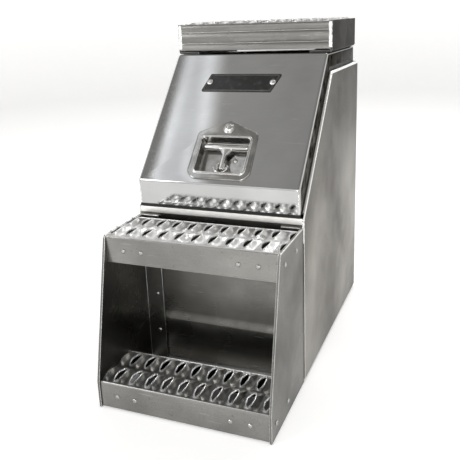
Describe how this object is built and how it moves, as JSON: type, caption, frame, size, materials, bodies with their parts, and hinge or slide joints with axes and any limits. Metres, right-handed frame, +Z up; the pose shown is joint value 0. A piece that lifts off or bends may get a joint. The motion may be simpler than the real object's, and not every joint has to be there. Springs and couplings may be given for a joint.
{
  "type": "truck step box",
  "caption": "Sheet aluminium step box for a truck, with raised-tooth treads, a lockable sloping clamshell lid and a top step.",
  "frame": {"origin": "on the ground under the box, midway across its width and midway along its depth", "axes": "+X to the viewer's right across the width, +Y from the front to the rear, +Z up"},
  "size_m": [0.3704, 0.734, 0.7356],
  "materials": {
    "polished_sheet": "bright polished sheet with light swirl marks",
    "mill_aluminium": "mill finish, softly brushed",
    "rivet_aluminium": "bright rivet heads and weld beads",
    "stainless": "satin stainless steel",
    "seal_rubber": "matt black bulb seal",
    "black_plate": "satin black, bare"
  },
  "bodies": {
    "box": {"floor_panel": "mill_aluminium", "front_wall": "polished_sheet", "hinge_body_leaf": "stainless", "hinge_pin": "stainless", "lid_seal": "seal_rubber", "lower_bracket_left": "mill_aluminium", "lower_bracket_right": "mill_aluminium", "lower_rivet_left_end_1": "rivet_aluminium", "lower_rivet_left_end_2": "rivet_aluminium", "lower_rivet_left_front_1": "rivet_aluminium", "lower_rivet_left_front_2": "rivet_aluminium", "lower_rivet_right_end_1": "rivet_aluminium", "lower_rivet_right_end_2": "rivet_aluminium", "lower_rivet_right_front_1": "rivet_aluminium", "lower_rivet_right_front_2": "rivet_aluminium", "lower_tread": "mill_aluminium", "mount_rivet_left_1": "rivet_aluminium", "mount_rivet_left_2": "rivet_aluminium", "mount_rivet_left_3": "rivet_aluminium", "mount_rivet_right_1": "rivet_aluminium", "mount_rivet_right_2": "rivet_aluminium", "mount_rivet_right_3": "rivet_aluminium", "rear_panel": "mill_aluminium", "side_panel_left": "mill_aluminium", "side_panel_right": "mill_aluminium", "step_plate_left": "mill_aluminium", "step_plate_right": "mill_aluminium", "upper_bracket_left": "mill_aluminium", "upper_bracket_right": "mill_aluminium", "upper_rivet_left_end_1": "rivet_aluminium", "upper_rivet_left_end_2": "rivet_aluminium", "upper_rivet_left_front_1": "rivet_aluminium", "upper_rivet_left_front_2": "rivet_aluminium", "upper_rivet_right_end_1": "rivet_aluminium", "upper_rivet_right_end_2": "rivet_aluminium", "upper_rivet_right_front_1": "rivet_aluminium", "upper_rivet_right_front_2": "rivet_aluminium", "upper_tread": "mill_aluminium"},
    "lid": {"cam_nut": "stainless", "handle_pin": "stainless", "hinge_lid_leaf": "stainless", "latch_cam": "stainless", "latch_spindle": "stainless", "latch_tray": "stainless", "lid_shell": "polished_sheet", "name_plate": "black_plate", "name_plate_rivet_1": "rivet_aluminium", "name_plate_rivet_2": "rivet_aluminium", "pan_rivet": "rivet_aluminium", "spindle_bushing": "stainless", "top_end_left": "mill_aluminium", "top_end_right": "mill_aluminium", "top_tread": "mill_aluminium", "top_weld_left": "rivet_aluminium", "top_weld_right": "rivet_aluminium", "tray_bolt": "stainless", "tray_nut": "stainless"},
    "handle": {"t_handle": "stainless"}
  },
  "joints": [
    {"name": "lid_hinge", "type": "hinge", "parent": "box", "child": "lid", "pos_m": [0, 0.349, 0.6295], "axis": [-1, 0, 0], "range_deg": [0, 95]},
    {"name": "handle_fold", "type": "hinge", "parent": "lid", "child": "handle", "pos_m": [0, -0.12087, 0.4465], "axis": [1, 0, 0], "range_deg": [0, 90]}
  ]
}
